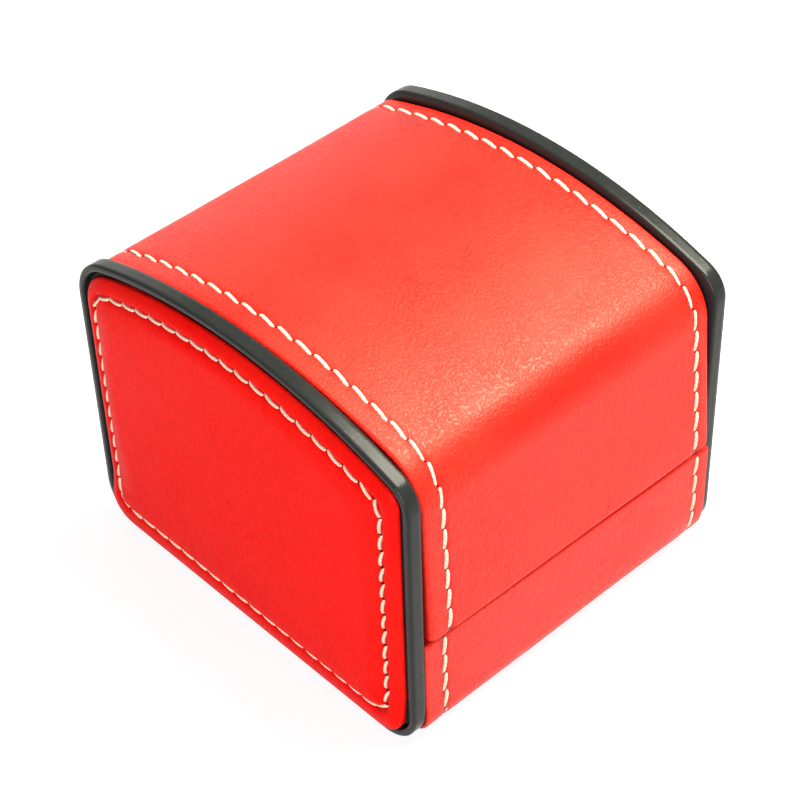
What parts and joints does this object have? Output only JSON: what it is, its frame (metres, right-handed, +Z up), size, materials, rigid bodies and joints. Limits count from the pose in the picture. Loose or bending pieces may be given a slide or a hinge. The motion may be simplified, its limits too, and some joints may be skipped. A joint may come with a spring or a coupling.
{
  "type": "pocket watch display box",
  "caption": "Leather-covered display box for a pocket watch, with an arched hinged lid between two padded end panels in black frames",
  "frame": {"origin": "middle of the base on the table, between the two end frames", "axes": "+Z up; the front of the box faces -Y and the hinge is at +Y; X runs from the left end panel to the right one"},
  "size_m": [0.094, 0.1012, 0.0823],
  "materials": {
    "red_leather": "fine-grained red leatherette, semi-gloss",
    "black_frame": "black moulded plastic, satin gloss",
    "thread": "cream sewing thread",
    "board": "raw fibreboard",
    "card": "grey-brown card",
    "velvet": "black velvet",
    "felt": "black felt",
    "steel": "bright steel",
    "ribbon": "red satin ribbon"
  },
  "bodies": {
    "base": {"end_frame_left": "black_frame", "end_frame_right": "black_frame", "end_board_left": "board", "end_board_right": "board", "end_pad_left": "red_leather", "end_pad_right": "red_leather", "end_lining_left": "velvet", "end_lining_right": "velvet", "end_pins_left": "steel", "end_pins_right": "steel", "base_shell": "board", "base_cover": "red_leather", "bottom_felt": "felt", "tray": "velvet", "pad_riser_left": "card", "pad_riser_right": "card", "hinge_base_leaf": "steel", "hinge_base_rivets": "steel", "hinge_pin": "steel"},
    "lid": {"lid_shell": "board", "lid_cover": "red_leather", "lid_lining": "velvet", "hinge_lid_leaf": "steel", "hinge_lid_rivets": "steel"},
    "pad": {"pad_board": "card", "watch_pad": "velvet", "recess_cup": "velvet", "pull_tab": "ribbon"}
  },
  "joints": [
    {"name": "lid_hinge", "type": "hinge", "parent": "base", "child": "lid", "pos_m": [0, 0.04845, 0.03], "axis": [-1, 0, 0], "range_deg": [0, 95]},
    {"name": "pad_lift", "type": "slide", "parent": "base", "child": "pad", "axis": [0, 0, 1], "range_m": [0, 0.025]}
  ]
}
